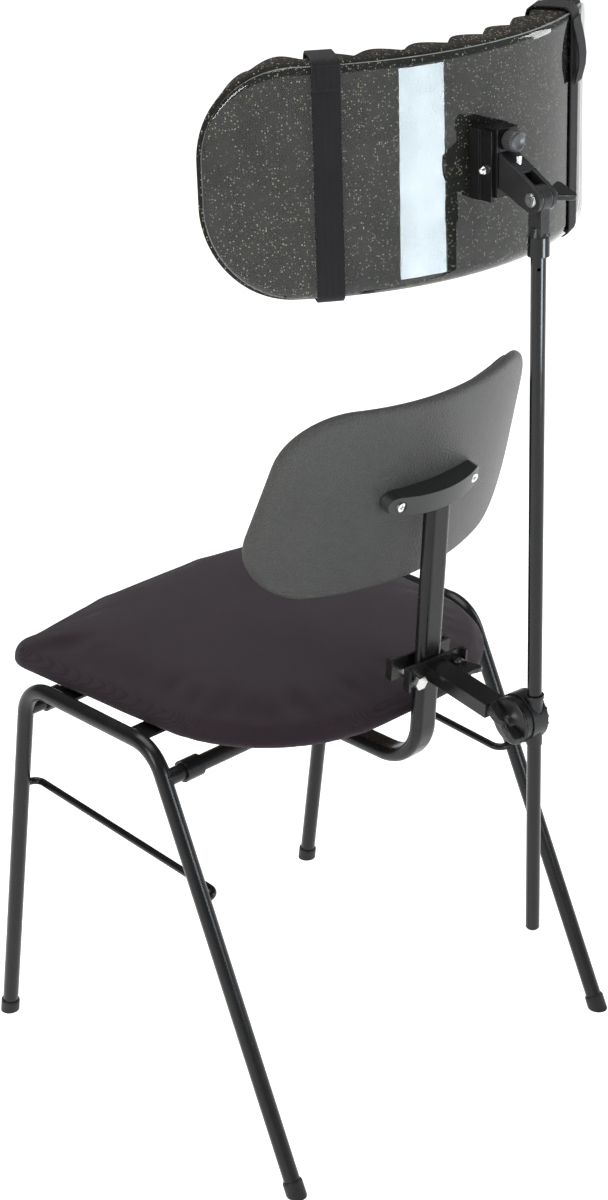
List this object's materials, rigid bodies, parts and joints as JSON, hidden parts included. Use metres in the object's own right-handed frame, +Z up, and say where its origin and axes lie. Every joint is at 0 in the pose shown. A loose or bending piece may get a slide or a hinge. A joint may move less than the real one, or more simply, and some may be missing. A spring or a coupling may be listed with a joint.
{
  "type": "chair-mounted acoustic shield stand",
  "caption": "Orchestra chair on splayed bent-tube legs with a clamped rear arm, a height-adjustable turning mast and a curved tilting acoustic shield lined with ridged foam.",
  "frame": {"origin": "on the floor, under the middle of the whole outline", "axes": "+Z up, the sitter faces -Y, +X is the sitter's left"},
  "size_m": [0.4944, 0.6086, 1.1386],
  "materials": {
    "frame_black": "semi-gloss black powder coat",
    "cap_plastic": "matte black",
    "zinc": "zinc plated",
    "plywood": "plain beech plywood",
    "seat_fabric": "fine dark aubergine weave",
    "pad_fabric": "black upholstery",
    "shell_plastic": "pebbled dark grey",
    "bar_plastic": "satin black",
    "bright_screw": "bright",
    "clamp_steel": "semi-gloss black",
    "arm_black": "semi-gloss black",
    "knob_plastic": "satin black",
    "bush_plastic": "satin black",
    "mast_black": "gloss black",
    "cast_grey": "satin dark grey",
    "bracket_black": "semi-gloss black",
    "grey_knob": "satin grey",
    "clear_plate": "clear gloss",
    "foam_charcoal": "open-cell charcoal",
    "elastic_black": "woven elastic"
  },
  "bodies": {
    "chair": {"side_frame_left": "frame_black", "side_frame_right": "frame_black", "side_rod_left": "frame_black", "side_rod_right": "frame_black", "foot_caps": "cap_plastic", "cross_tubes": "frame_black", "cross_collars": "frame_black", "seat_tabs": "frame_black", "seat_screws": "zinc", "seat_board": "plywood", "seat_cushion": "seat_fabric", "back_upright": "frame_black", "upright_end_plug": "cap_plastic", "spine_saddles": "frame_black", "spine_bolts": "zinc", "back_shell": "shell_plastic", "back_pad": "pad_fabric", "back_bar": "bar_plastic", "back_screws": "bright_screw"},
    "clamp": {"clamp_plate_rear": "clamp_steel", "clamp_plate_front": "clamp_steel", "clamp_hex_bolt": "zinc", "clamp_weld_nut": "zinc", "support_arm": "arm_black", "arm_end": "knob_plastic"},
    "clamp_screw": {"clamp_wing": "knob_plastic"},
    "holder": {"swivel_hub": "knob_plastic", "swivel_cap": "knob_plastic", "swivel_bolt": "zinc"},
    "holder_knob": {"swivel_knob": "knob_plastic"},
    "bush": {"mast_bush": "bush_plastic"},
    "mast": {"mast_rod": "mast_black", "mast_end_plug": "cap_plastic", "mast_sleeve": "mast_black", "mast_lug": "cast_grey"},
    "shield": {"tilt_link": "cast_grey", "tilt_washers": "zinc", "tilt_bolt": "bright_screw", "link_head": "bracket_black", "shield_bracket": "bracket_black", "bracket_bolt": "bright_screw", "link_screw": "bright_screw", "shield_plate": "clear_plate", "shield_foam": "foam_charcoal", "strap_left": "elastic_black", "strap_right": "elastic_black"},
    "tilt_screw": {"tilt_wing": "knob_plastic"},
    "bracket_knob": {"lock_knob": "grey_knob"}
  },
  "joints": [
    {"name": "clamp_height", "type": "slide", "parent": "chair", "child": "clamp", "axis": [0, 0.0924, 0.9957], "range_m": [-0.012, 0.045]},
    {"name": "clamp_screw_turn", "type": "hinge", "parent": "clamp", "child": "clamp_screw", "pos_m": [-0.02266, 0.16158, 0.50267], "axis": [0.078, 0.9907, -0.1115], "continuous": true},
    {"name": "mast_swivel", "type": "hinge", "parent": "clamp", "child": "holder", "pos_m": [0.01418, 0.27283, 0.49091], "axis": [0.9969, -0.0785, 0], "range_deg": [-15, 6]},
    {"name": "holder_knob_turn", "type": "hinge", "parent": "holder", "child": "holder_knob", "pos_m": [0.01418, 0.27283, 0.49091], "axis": [0.9969, -0.0785, 0], "continuous": true},
    {"name": "mast_turn", "type": "hinge", "parent": "holder", "child": "bush", "pos_m": [0.00138, 0.28868, 0.49091], "axis": [0, 0, 1], "range_deg": [-60, 60]},
    {"name": "mast_height", "type": "slide", "parent": "bush", "child": "mast", "axis": [0, 0, 1], "range_m": [-0.04, 0.18]},
    {"name": "shield_tilt", "type": "hinge", "parent": "mast", "child": "shield", "pos_m": [0.00138, 0.28868, 1.007], "axis": [0.9973, -0.0732, 0], "range_deg": [-25, 20]},
    {"name": "tilt_screw_turn", "type": "hinge", "parent": "shield", "child": "tilt_screw", "pos_m": [0.00138, 0.28868, 1.007], "axis": [0.9973, -0.0732, 0], "continuous": true},
    {"name": "bracket_knob_turn", "type": "hinge", "parent": "shield", "child": "bracket_knob", "pos_m": [-0.00155, 0.24879, 1.052], "axis": [0.0732, 0.9973, 0], "continuous": true}
  ]
}
